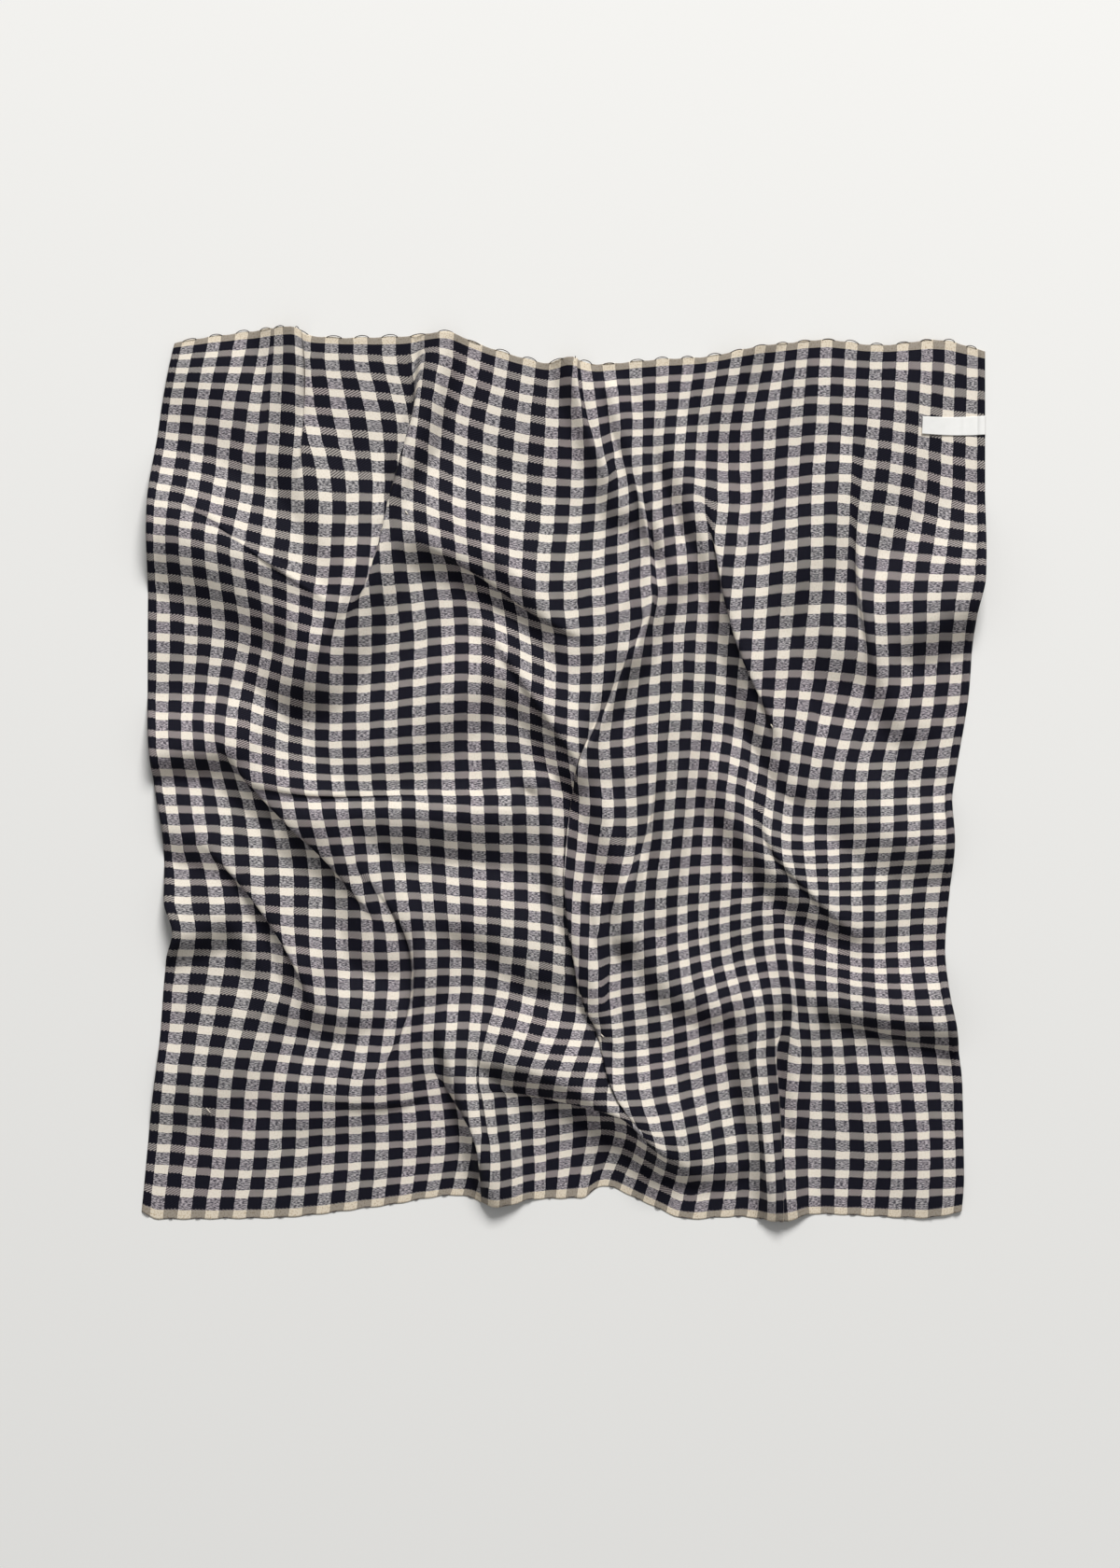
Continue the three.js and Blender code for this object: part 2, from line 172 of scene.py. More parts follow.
LEFT_FOLDS = (
    ("left brow", -330, 10, -280, 18, -244, 20, 16, 18, 19, 40, 20),
    ("left slope", -246, 21, -222, -6, -192, -32, 19, 18, 19, 38, 26),
    ("left tail", -192, -32, -160, -65, -142, -125, 19, 18, 10, 34, 26),
    ("left lower", -300, -35, -240, -76, -196, -145, 11, 16, 16, 34, 22),
    ("left lower tail", -196, -145, -182, -172, -150, -180, 16, 13, 8, 30, 22),
    ("left bump", -330, -120, -290, -119, -256, -106, 21, 19, 16, 45, 22),
    ("left bump tail", -256, -106, -232, -130, -226, -165, 14, 10, 6, 18, 18),
    ("left foot", -300, -238, -270, -232, -240, -190, 6, 10, 8, 40, 36),
)
RIGHT_FOLDS = (
    ("right crest", 84, 235, 114, 160, 138, 85, 10, 19, 18, 40, 17),
    ("right crest low", 138, 85, 150, 45, 168, -2, 18, 18, 11, 34, 17),
    ("right low crest", 120, -10, 150, -58, 216, -112, 11, 18, 14, 40, 20),
    ("right low tail", 212, -105, 222, -130, 224, -160, 13, 8, 6, 22, 22),
    ("right edge", 228, 98, 268, 116, 335, 142, 13, 24, 29, 60, 32),
    ("right thread", 222, 190, 230, 112, 256, 40, 6, 14, 10, 26, 18),
    ("right soft", 146, 120, 176, 160, 206, 215, 11, 14, 10, 44, 36),
    ("right bar", 196, 10, 222, -28, 340, -40, 8, 13, 18, 36, 30),
    ("narrow rib", 94, 40, 82, -30, 72, -110, 8, 13, 13, 14, 15),
    ("top swell", 146, 340, 120, 290, 106, 240, 13, 13, 8, 24, 22),
    ("top mid swell", 196, 340, 192, 280, 190, 230, 5, 6, 5, 26, 26),
    ("top right swell", 262, 340, 242, 250, 226, 185, 6, 11, 8, 40, 34),
)
LOWER_FOLDS = (
    ("thin ridge", -122, -88, -106, -150, -124, -200, 10, 11, 8, 10, 13),
    ("low swell", -112, -106, -74, -108, -24, -140, 11, 14, 10, 40, 24),
    ("low branch", -96, -112, -97, -140, -98, -172, 10, 10, 5, 16, 16),
    ("wave one", -240, -180, -178, -172, -120, -186, 6, 10, 6, 30, 22),
    ("wave two", -190, -240, -148, -230, -118, -196, 8, 13, 10, 34, 36),
    ("long crease", -18, -10, 12, -120, 62, -262, 13, 14, 19, 14, 15),
    ("crease side", 26, -10, 42, -60, 48, -120, 11, 16, 18, 16, 20),
    ("crease foot", 24, -95, 30, -140, 40, -200, 13, 11, 8, 12, 12),
    ("bottom tube", -90, -200, -72, -252, -46, -350, 14, 24, 26, 30, 10),
    ("bottom fold", -62, -212, 6, -232, 70, -278, 16, 29, 26, 46, 17),
    ("bottom fold tail", 68, -276, 96, -290, 124, -290, 26, 19, 11, 44, 20),
)
LOWER_RIGHT_FOLDS = (
    ("low bar", 62, -120, 90, -165, 135, -174, 11, 11, 8, 34, 18),
    ("right low left", 120, -176, 150, -172, 182, -166, 8, 8, 11, 30, 18),
    ("right low", 180, -165, 240, -178, 335, -198, 11, 21, 21, 46, 19),
    ("rib", 138, -170, 146, -240, 166, -350, 16, 21, 24, 16, 18),
    ("short rib", 190, -140, 178, -195, 172, -260, 10, 13, 8, 14, 14),
    ("rib two", 168, -280, 172, -310, 176, -350, 10, 14, 16, 12, 12),
    ("corner", 290, -330, 260, -290, 240, -240, 5, 6, 6, 40, 40),
)
MAIN_FOLDS = [Fold(*row) for row in (
    UPPER_LEFT_FOLDS + CENTRE_FOLDS + LEFT_FOLDS + RIGHT_FOLDS + LOWER_FOLDS + LOWER_RIGHT_FOLDS
)]
print(len(MAIN_FOLDS), "folds")

# %% Lines of crests, and distances from them
FOLD_STEPS = 12


def crest_line(*places):
    """A parabola from the first place to the last that passes through the middle one at
    that one's own share of the straight lengths."""
    start, middle, end = np.array(places, float)
    first = np.linalg.norm(middle - start)
    share = first / (first + np.linalg.norm(end - middle))
    pull = (middle - (1 - share) ** 2 * start - share ** 2 * end) / (2 * share * (1 - share))
    t = np.linspace(0, 1, FOLD_STEPS + 1)[:, None]
    return (1 - t) ** 2 * start + 2 * t * (1 - t) * pull + t * t * end


def nearest_on_line(line, x, y):
    """For every place: the distance to the nearest step of the line, the share of the line
    run there, and the side, from -1 on the right of the run to 1 on the left."""
    near = np.full(x.shape, np.inf)
    share = np.zeros(x.shape)
    side = np.zeros(x.shape)
    steps = len(line) - 1
    for k, (a, b) in enumerate(zip(line[:-1], line[1:])):
        ex, ey = b - a
        length = math.hypot(ex, ey)
        s = np.clip(((x - a[0]) * ex + (y - a[1]) * ey) / length ** 2, 0, 1)
        dx = x - a[0] - s * ex
        dy = y - a[1] - s * ey
        distance = np.hypot(dx, dy)
        closer = distance < near
        near = np.where(closer, distance, near)
        share = np.where(closer, (k + s) / steps, share)
        across = (ex * dy - ey * dx) / length
        side = np.where(closer, across / np.maximum(distance, TINY), side)
    return near, share, side


def through_three(start, middle, end, t):
    """The parabola through three values at the shares 0, a half and 1."""
    return start * (1 - t) * (1 - 2 * t) + 4 * middle * t * (1 - t) + end * t * (2 * t - 1)


# %% The landscape of folds
SLOPE_FADE = 1.3
CROSSING_POWER = 4
RESTING_LIFT = 0.6
FOLD_MARGIN = 12


def fold_lift(fold, x, y):
    """The crest's height, a parabola through its three heights, times a half-cosine of the
    distance from the crest that reaches zero at SLOPE_FADE times the reach of that side."""
    near, t, side = nearest_on_line(crest_line(fold[1:3], fold[3:5], fold[5:7]), x, y)
    turn = 0.5 * (1 + np.clip(side, -1, 1))
    reach = mix(fold.right_reach, fold.left_reach, turn * turn * (3 - 2 * turn))
    fade = np.clip(near / (SLOPE_FADE * reach), 0, 1)
    crest = through_three(fold.start_height, fold.middle_height, fold.end_height, t)
    return np.maximum(crest, 0) * 0.5 * (1 + np.cos(np.pi * fade))


def cloth_height(x, y):
    """The height of the cloth's underside: the root of the sum of the lifts' powers, so the
    highest fold wins softly, less the small lift that the table takes up."""
    total = np.zeros(x.shape)
    for fold in MAIN_FOLDS:
        margin = SLOPE_FADE * max(fold.left_reach, fold.right_reach) + FOLD_MARGIN
        xs, ys = fold[1:7:2], fold[2:7:2]
        inside = (x > min(xs) - margin) & (x < max(xs) + margin)
        inside &= (y > min(ys) - margin) & (y < max(ys) + margin)
        total[inside] += fold_lift(fold, x[inside], y[inside]) ** CROSSING_POWER
    return np.maximum(total ** (1 / CROSSING_POWER) - RESTING_LIFT, 0)


# %% [markdown]
# ## Where the check runs
# Cloth hardly stretches, so over a steep fold its check closes up when it is seen from
# above, and in the flats it opens to its full width. The threads also wander, because the
# cloth was pushed about before it came to rest. A chart says where they went: the middles
# of every third cream column's blocks, every fourth cream row. They could be read off with
# a ruler. Here a small script found the blocks in the photograph, and the places that it
# missed or miscounted were put in by eye or from the blocks around them. A thin elastic
# plate bent through all of them gives the rest, as a draughtsman's spline does.

# %% Chart of the check, in millimetres
CHART_COLUMNS = tuple(range(0, CREAM_COLUMNS, 3))
CHART_X = {   # check row from the top: x at each column of the chart
    0: (-281, -222, -194, -131, -66, -6, 34, 94, 147, 197, 254, 308),
    4: (-290, -231, -191, -120, -76, -9, 39, 88, 137, 194, 251, 306),
    8: (-295, -237, -178, -124, -78, -12, 45, 85, 136, 190, 245, 304),
    12: (-301, -243, -180, -132, -72, -16, 45, 89, 129, 189, 236, 295),
    16: (-299, -238, -185, -128, -66, -10, 43, 86, 135, 183, 238, 294),
    20: (-299, -247, -191, -129, -67, -11, 30, 83, 130, 173, 224, 285),
    24: (-296, -241, -188, -127, -65, -5, 33, 79, 124, 166, 222, 282),
    28: (-289, -230, -176, -124, -63, -4, 24, 73, 122, 172, 219, 276),
    32: (-280, -218, -166, -117, -62, -3, 22, 74, 122, 168, 219, 274),
    36: (-287, -217, -165, -116, -65, -8, 26, 78, 132, 173, 219, 280),
    40: (-294, -232, -174, -118, -69, -23, 37, 82, 137, 172, 226, 286),
    44: (-299, -237, -176, -115, -65, -18, 43, 90, 143, 169, 231, 289),
    47: (-305, -243, -180, -119, -62, -18, 30, 82, 142, 171, 228, 288),
}
CHART_Y = {   # check row from the top: y at each column of the chart
    0: (324, 329, 326, 326, 321, 307, 306, 311, 317, 322, 320, 318),
    4: (279, 274, 272, 266, 265, 248, 253, 257, 260, 265, 259, 249),
    8: (226, 213, 207, 209, 202, 190, 197, 205, 198, 205, 197, 183),
    12: (175, 163, 143, 153, 152, 132, 140, 145, 134, 140, 131, 132),
    16: (117, 108, 93, 94, 100, 80, 80, 87, 82, 74, 68, 71),
    20: (57, 53, 36, 37, 42, 31, 21, 28, 23, 11, 5, 8),
    24: (1, -3, -15, -15, -15, -15, -37, -31, -31, -48, -47, -44),
    28: (-56, -59, -65, -63, -69, -73, -94, -90, -85, -84, -90, -87),
    32: (-108, -111, -121, -121, -123, -132, -158, -146, -134, -126, -136, -135),
    36: (-161, -168, -179, -179, -176, -188, -198, -195, -179, -176, -179, -183),
    40: (-221, -226, -230, -229, -229, -233, -236, -243, -231, -227, -229, -229),
    44: (-281, -286, -282, -278, -279, -276, -270, -291, -286, -284, -287, -285),
    47: (-327, -329, -325, -319, -317, -315, -309, -329, -329, -331, -329, -328),
}


def block_middle(column, row):
    """The middle of a cream block on the flat cloth: across from the left, down from the top."""
    return (SIDE_COLUMN + column * COLUMN_REPEAT + CREAM_COLUMN / 2, row * ROW_REPEAT + CREAM_ROW / 2)


chart = [
    (*block_middle(column, row), x, y)
    for row in CHART_X
    for column, x, y in zip(CHART_COLUMNS, CHART_X[row], CHART_Y[row])
]
chart = np.array(chart, float)
print(len(chart), "places of the check are known")

# %% The elastic plate through the chart
PLATE_UNIT = 100.0


def plate_bumps(places, pins):
    """r squared times log r for every place and pin, with r in plate units."""
    squared = ((places[:, None, :] - pins[None]) ** 2).sum(-1) / PLATE_UNIT ** 2
    return 0.5 * squared * np.log(np.maximum(squared, TINY ** 2))


def plate_through(pins, values):
    """A thin plate: a sum of bumps at the pins plus a flat tilt, which meets every value
    and bends as little as it can. Returns the function that reads it."""
    count = len(pins)
    system = np.zeros((count + 3, count + 3))
    system[:count, :count] = plate_bumps(pins, pins)
    system[:count, count] = 1
    system[:count, count + 1:] = pins / PLATE_UNIT
    system[count:, :count] = system[:count, count:].T
    weights = np.linalg.solve(system, np.concatenate([values, np.zeros((3, values.shape[1]))]))

    def read(u, down):
        """The plate's values at places of the flat cloth, in arrays of the same shape."""
        places = np.stack([u.ravel(), down.ravel()], axis=1)
        flat = weights[count] + places / PLATE_UNIT @ weights[count + 1:]
        out = plate_bumps(places, pins) @ weights[:count] + flat
        return [out[:, k].reshape(u.shape) for k in range(values.shape[1])]
    return read


# %% [markdown]
# ## Creases that swallow cloth
# A plate alone only wanders softly. In real rumples the check runs straight, stops at a
# crease and goes on a few millimetres aside, because a tuck lies hidden under the crease's
# lip. Each crease is one row, placed on the flat cloth by counting columns and rows of the
# check. Its slip says how far the cloth on its left lies aside from the cloth on its
# right, its wall how wide a band of cloth turns there, and its lip how far the left side
# stands over the right one, or under it where the number is negative. Most slips were
# first fitted to the blocks that the small script had found, and over half of those were
# then changed by hand.

# %% Crease table: places in columns and rows of the check, the rest in millimetres
Crease = namedtuple("Crease", (
    "name", "start_column", "start_row", "middle_column", "middle_row", "end_column", "end_row",
    "start_slip_x", "start_slip_y", "middle_slip_x", "middle_slip_y", "end_slip_x", "end_slip_y",
    "start_lip", "middle_lip", "end_lip", "wall",
))
CREASES = [Crease(*row) for row in (
    ("pleat", 5.3, -0.5, 5.35, 2.5, 5.1, 6.8, 13, 4, 17, -3, 3, -3, 7, 9, 3, 12),
    ("pleat slope", 3.5, -0.5, 3.5, 4, 3.6, 8.5, 9, 1, 5, -3, 2, 0, 1, 2, 0, 20),
    ("v fold", 9.9, 1.5, 9.4, 6.5, 7.5, 13.5, -1, -12, 14, -15, 2, -4, -4, -7, 6, 14),
    ("s top", 16.2, -0.8, 16.4, 2.2, 17.4, 5.5, 14, 4, 6, 3, 5, -4, 3, 5, 3, 15),
    ("s middle", 17.6, 4, 19.3, 9, 19.3, 14, 3, -4, 5, 7, 8, 3, 3, 6, 4, 18),
    ("s low", 19.3, 12.5, 18.0, 17, 16.2, 22.5, -4, -4, 6, 1, -1, 2, -1, -9, -7, 14),
    ("centre", 16.8, 20, 15.9, 26, 17.2, 34, 7, -2, 14, 12, 8, 8, -5, -9, -7, 17),
    ("centre low", 16.8, 32, 17.8, 36.5, 18.9, 41.5, 7, 4, 20, 5, 4, 12, -6, -8, -4, 17),
    ("centre right", 18.5, 25, 18.4, 29, 18.6, 33, -4, 1, -2, -1, 1, -4, 2, 3, 2, 10),
    ("right crest", 22.3, 8, 23.4, 13, 25.8, 19, -1, 6, 10, 12, 2, -4, -3, -9, -6, 13),
    ("side fold", 20.2, 20.5, 19.8, 25, 18.3, 29.5, 3, 2, 3, -1, 2, 1, -2, -5, -2, 12),
    ("right thread", 28.5, 6, 28.9, 12, 29.8, 17, 2, 3, 7, 5, 2, -1, -2, -6, -2, 18),
    ("thin ridge", 7.2, 28.5, 9, 33.5, 8, 39, 3, -1, 7, -1, 4, -1, -2, -6, -3, 12),
    ("tube foot", 10.4, 40, 11.5, 43, 12.3, 47.8, 4, 3, 11, 7, 5, 6, -2, -5, -5, 12),
    ("tube wall", 12.5, 36, 12.5, 39.5, 12.6, 43, 2, -1, 7, 0, 5, 1, 1, 3, 2, 12),
    ("bottom fold", 13.3, 40.6, 17.2, 41.9, 21.6, 45.4, 4, 1, 3, 6, -1, -5, -3, -8, -5, 13),
    ("rib", 26, 38.3, 26, 43, 26, 47.8, 5, -4, 13, -3, 8, 6, 2, 5, 5, 14),
    ("rib left", 24.5, 37, 24.5, 43, 24.4, 47.8, 1, -1, 5, 0, -1, 4, -2, -4, -4, 12),
    ("short rib", 26.6, 29.5, 27, 34.5, 26.8, 39, -2, 1, 4, 1, -3, 2, 2, 4, 2, 14),
    ("long wall", 3.6, 24.1, 8, 24.3, 14, 23.9, 0, 1, 1, 4, 0, -1, -3, -8, -4, 12),
    ("diagonal a", 2.4, 22.3, 4.7, 26.5, 7.2, 30.8, 2, 1, 9, 5, 4, 3, -2, -7, -3, 15),
    ("diagonal b", 0.8, 27.6, 2.9, 31.5, 4.5, 36, 0, -2, 11, 5, -2, 0, -2, -7, -3, 14),
    ("double line", 0.6, 9.4, 3.2, 11.2, 6.3, 13.2, -1, 1, 0, 5, 0, 0, -1, -4, -1, 11),
    ("middle crest", 12, 15.3, 14.5, 18.6, 16.3, 22.3, -2, -1, 0, 2, 0, -1, -4, -8, -4, 12),
    ("right low", 25.3, 22.2, 27, 27, 29.8, 30.8, -2, 1, 2, 3, 0, 1, -2, -7, -3, 14),
    ("v tail", 7.6, 10.5, 6.7, 14.5, 5.6, 19.0, 0, 0, 3, 0, 0, 0, 2, 6, 2, 14),
    ("saddle", 10.4, 10.9, 13.3, 12.5, 16.1, 14.3, 0, 0, 2, 5, 0, 0, -3, -9, -4, 10),
    ("low wave", 5.6, 41.2, 8, 41.6, 10.3, 41.3, 0, 0, 0, 3, 0, 0, -1, -5, -2, 13),
    ("right low line", 28.8, 36.3, 31, 37.3, 33.6, 38, 1, -1, 0, 4, -1, -1, -1, -5, -2, 12),
)]
print(len(CREASES), "creases")

# %% What a crease does to the cloth beside it
SLIP_REACH = 60
LIP_REACH = 14


def crease_line(crease):
    """The crease's line on the flat cloth, in millimetres, as a fold's crest line."""
    return crest_line(*(block_middle(*crease[k:k + 2]) for k in (1, 3, 5)))


def across_wall(near, side, wall):
    """From -1 on one side to 1 on the other: it climbs over the wall's width and stays."""
    step = np.clip(near / (wall / 2), 0, 1)
    return side * (1.5 * step - 0.5 * step ** 3)


def crease_effects(u, down):
    """Three fields at the flat places: the slip in x and in y, half of it to each side and
    fading with the distance, and the lip's rise, which fades sooner."""
    slip_x, slip_y, lip = (np.zeros(u.shape) for _ in range(3))
    for crease in CREASES:
        near, t, side = nearest_on_line(crease_line(crease), u, down)
        turned = across_wall(near, side, crease.wall) / 2
        for field, reach, values in (
            (slip_x, SLIP_REACH, (crease.start_slip_x, crease.middle_slip_x, crease.end_slip_x)),
            (slip_y, SLIP_REACH, (crease.start_slip_y, crease.middle_slip_y, crease.end_slip_y)),
            (lip, LIP_REACH, (crease.start_lip, crease.middle_lip, crease.end_lip)),
        ):
            field += turned * np.exp(-(near / reach) ** 2) * through_three(*values, t)
    return slip_x, slip_y, lip


pin_slips = np.stack(crease_effects(chart[:, 0], chart[:, 1])[:2], axis=1)
chart_plate = plate_through(chart[:, :2], chart[:, 2:] - pin_slips)
print(f"the creases move the chart's places by up to {np.abs(pin_slips).max():.1f} mm")

# %% From the flat cloth to the plan
EDGE_BLEND = 45


def charted_place(u, down):
    """The plate's place plus the creases' slips, and the lip's rise."""
    x, y = chart_plate(u, down)
    slip_x, slip_y, lip = crease_effects(u, down)
    return x + slip_x, y + slip_y, lip


def plan_place(u, down):
    """Where a place of the flat cloth lies in plan, and the lip's rise there: the charted
    place, drawn to the outline's curves near each edge by a share that fades over
    EDGE_BLEND millimetres."""
    x, y, lip = charted_place(u, down)
    for axis, border, rows in (
        (0, 0, LEFT_EDGE), (0, FLAT_WIDTH, RIGHT_EDGE), (1, 0, TOP_EDGE), (1, FLAT_LENGTH, BOTTOM_EDGE),
    ):
        share = np.clip(1 - np.abs((u, down)[axis] - border) / EDGE_BLEND, 0, 1) ** 2
        near = share > 0
        on_border = [u[near], down[near]]
        on_border[axis] = np.full_like(on_border[axis], border)
        edge = charted_place(*on_border)
        (x, y)[axis][near] += share[near] * (edge_value(edge[1 - axis], rows) - edge[axis])
    return x, y, lip


# %% [markdown]
# ## From threads to a surface
# The cloth is a grid of points on the flat scarf. Each point looks up where it lies in plan
# and then how high the folds lift it there. The cloth gets its thickness along its own
# upward direction, so that it is as thick on a steep wall as in the flats, and a rim
# closes it. Solidify could do that too, but the sides are rolled hems and swell. At the
# two ends the cream blocks of the woven band bulge outwards, so its border is scalloped.

# %% The fine grid and the cloth's edges: counts, shares and millimetres
FINE_ACROSS = 205
FINE_ALONG = 217
BORDER_STEPS = 5
CLOTH_THICKNESS = 0.45
CROWDING = 0.55
CROWDING_REACH = 15
HEM_RISE = 1.3
SCALLOP = 0.8
SCALLOP_REACH = 4
END_SINK = 0.6
END_SINK_REACH = 30


def upward(points):
    """The unit direction across both ways along a grid of points, which points up."""
    normal = np.cross(np.gradient(points, axis=0), np.gradient(points, axis=1))
    return normal / np.linalg.norm(normal, axis=-1, keepdims=True)


def crowd_to_creases(u, down):
    """Moves grid points towards each crease in turn, by CROWDING of their distance where
    they are close and less further off, so that the mesh is finest where the cloth turns.
    Points on the border only slide along it."""
    for crease in CREASES:
        line = crease_line(crease)
        near, t, _ = nearest_on_line(line, u, down)
        steps = np.linspace(0, 1, len(line))
        pull = CROWDING * np.exp(-(near / CROWDING_REACH) ** 2)
        u, down = (
            at + pull * np.clip(np.minimum(at, size - at) / CROWDING_REACH, 0, 1) * (foot - at)
            for at, size, foot in (
                (u, FLAT_WIDTH, np.interp(t, steps, line[:, 0])),
                (down, FLAT_LENGTH, np.interp(t, steps, line[:, 1])),
            )
        )
    return u, down


def cloth_points(u, down):
    """The underside of the cloth at flat places: plan, and height with the lips. At the two
    ends the cream columns bulge outwards a little, so the border is scalloped, and at the
    bottom end the open ends of the folds sink."""
    x, y, lip = plan_place(u, down)
    column_turn = 2 * np.pi * (u - SIDE_COLUMN - CREAM_COLUMN / 2) / COLUMN_REPEAT
    bulge = SCALLOP * np.cos(column_turn) / 2
    y += bulge * (np.exp(-down / SCALLOP_REACH) - np.exp(-(FLAT_LENGTH - down) / SCALLOP_REACH))
    sink = 1 - END_SINK * np.exp(-(FLAT_LENGTH - down) / END_SINK_REACH)
    return np.stack([x, y, sink * np.maximum(cloth_height(x, y) + lip, 0)], axis=-1)


def with_border(length, border, steps):
    """Grid places from 0 to the length: even in the middle, closer in a border at each end."""
    near = np.linspace(0, border, BORDER_STEPS + 1)[:-1]
    return np.concatenate([near, np.linspace(border, length - border, steps), length - near[::-1]])


def cloth_thickness(u):
    """The cloth's thickness, with a half-round roll over each side's narrow column."""
    from_side = np.minimum(u, FLAT_WIDTH - u)
    roll = np.clip(1 - (2 * from_side / SIDE_COLUMN - 1) ** 2, 0, 1)
    return (CLOTH_THICKNESS + HEM_RISE * np.sqrt(roll))[..., None]


flat_u, flat_down = crowd_to_creases(*np.meshgrid(
    with_border(FLAT_WIDTH, SIDE_COLUMN, FINE_ACROSS), with_border(FLAT_LENGTH, CREAM_ROW, FINE_ALONG)
))
underside = cloth_points(flat_u, flat_down)

# %% The shift from the photograph's middle to the solid's middle
cad_low, cad_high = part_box("scarf_cloth")
solid_middle = np.array([(cad_low[k] + cad_high[k]) / 2 / MM for k in (0, 1)])
drawn_middle = (underside[..., :2].min((0, 1)) + underside[..., :2].max((0, 1))) / 2
TO_FRAME = np.array([*(solid_middle - drawn_middle), 0.0])
print("shift to the frame in millimetres:", TO_FRAME.round(2))

# %% The faces of a closed sheet


def sheet_faces(rows, columns):
    """Quads of the upper grid, of the lower grid the other way round, and of the rim that
    joins them. Upper points come first."""
    index = np.arange(rows * columns).reshape(rows, columns)
    a, b = index[:-1, :-1].ravel(), index[:-1, 1:].ravel()
    c, d = index[1:, 1:].ravel(), index[1:, :-1].ravel()
    layer = rows * columns
    rim = np.concatenate([
        index[0, :], index[1:, -1], index[-1, -2::-1], index[-2:0:-1, 0], index[:1, 0],
    ])
    near, far = rim[:-1], rim[1:]
    upper = np.stack([a, d, c, b], axis=1)
    lower = np.stack([a, b, c, d], axis=1) + layer
    wall = np.stack([near, far, far + layer, near + layer], axis=1)
    return np.concatenate([upper, lower, wall]), len(wall)


# %% Points and faces as a Blender object


def add_object(name, points, faces, smooth=None):
    """A mesh object in metres in the model's frame from points in millimetres, faces as
    rows of point numbers, and which faces shade smoothly."""
    mesh = bpy.data.meshes.new(name)
    sides = faces.shape[1]
    mesh.vertices.add(len(points))
    mesh.vertices.foreach_set("co", ((points + TO_FRAME) * MM).astype(np.float32).ravel())
    mesh.loops.add(faces.size)
    mesh.loops.foreach_set("vertex_index", faces.astype(np.int32).ravel())
    mesh.polygons.add(len(faces))
    mesh.polygons.foreach_set("loop_start", np.arange(0, faces.size, sides, dtype=np.int32))
    shade = np.ones(len(faces), bool) if smooth is None else smooth
    mesh.polygons.foreach_set("use_smooth", shade)
    mesh.update(calc_edges=True)
    mesh.validate()
    piece = bpy.data.objects.new(name, mesh)
    bpy.context.scene.collection.objects.link(piece)
    return piece


def set_uv(piece, places):
    """Gives each point's flat place, in metres, to every face corner that uses it."""
    mesh = piece.data
    corner = np.zeros(len(mesh.loops), np.int32)
    mesh.loops.foreach_get("vertex_index", corner)
    layer = mesh.uv_layers.new(name="weave")
    layer.uv.foreach_set("vector", (places[corner] * MM).astype(np.float32).ravel())


def make_sheet(name, lower, upper, u, down):
    """A closed sheet between two grids of points, with each point's place on the flat
    cloth, across from the left edge and down from the top edge, as its weave map."""
    rows, columns = u.shape
    faces, walls = sheet_faces(rows, columns)
    smooth = np.arange(len(faces)) < len(faces) - walls
    points = np.concatenate([upper.reshape(-1, 3), lower.reshape(-1, 3)])
    piece = add_object(name, points, faces, smooth)
    flat = np.stack([u.ravel(), down.ravel()], axis=1)
    set_uv(piece, np.concatenate([flat, flat]))
    return piece


top_side = underside + upward(underside) * cloth_thickness(flat_u)
# where a wall leans over, the upper face still stays on the table
top_side[..., 2] = np.maximum(top_side[..., 2], 0)
scarf = make_sheet("scarf", underside, top_side, flat_u, flat_down)
print("scarf has", len(scarf.data.polygons), "quads")

# %% [markdown]
# ## Colours of the check
# Cream over cream is a clear block and navy over navy a dark one. Where cream weft crosses
# navy warp the twill's fine slant shows, and the eye reads a brown grey. Where the slubby
# navy weft crosses cream warp, thick and thin yarn make short level flecks on a lilac grey.
# An image could hold all this. Worked out from the place on the flat cloth instead, it
# follows every fold and stays sharp from close by.

# %% Small helpers for shader nodes


def new_material(name):
    """A material with an empty tree but for its shader and output."""
    material = bpy.data.materials.new(name)
    material.use_nodes = True
    shader = material.node_tree.nodes["Principled BSDF"]
    return material, material.node_tree, shader


def feed(tree, socket, value):
    """Links an output to a socket, or sets the socket to a plain value."""
    if isinstance(value, bpy.types.NodeSocket):
        tree.links.new(value, socket)
    elif isinstance(value, tuple) and len(value) == 3 and socket.type == "RGBA":
        socket.default_value = (*value, 1.0)
    else:
        socket.default_value = value


def calc(tree, operation, *values):
    """One Math node: the operation on one, two or three values."""
    node = tree.nodes.new("ShaderNodeMath")
    node.operation = operation
    for socket, value in zip(node.inputs, values):
        feed(tree, socket, value)
    return node.outputs[0]


def blend_colours(tree, share, first, second, way="MIX"):
    """The first colour at share 0. At share 1, the second one, or the product of the two
    where the way is MULTIPLY."""
    node = tree.nodes.new("ShaderNodeMix")
    node.data_type = "RGBA"
    node.blend_type = way
    feed(tree, node.inputs["Factor"], share)
    colours_in = [socket for socket in node.inputs if socket.type == "RGBA"]
    for socket, colour in zip(colours_in, (first, second)):
        feed(tree, socket, colour)
    return next(socket for socket in node.outputs if socket.type == "RGBA")


def noise_at(tree, x, y, detail=2.0, z=0.0):
    """A smooth noise from about 0 to 1 at the place x, y, one unit a bump."""
    place = tree.nodes.new("ShaderNodeCombineXYZ")
    feed(tree, place.inputs[0], x)
    feed(tree, place.inputs[1], y)
    feed(tree, place.inputs[2], z)
    node = tree.nodes.new("ShaderNodeTexNoise")
    node.inputs["Scale"].default_value = 1.0
    node.inputs["Detail"].default_value = detail
    tree.links.new(place.outputs[0], node.inputs["Vector"])
    return node.outputs["Fac"]


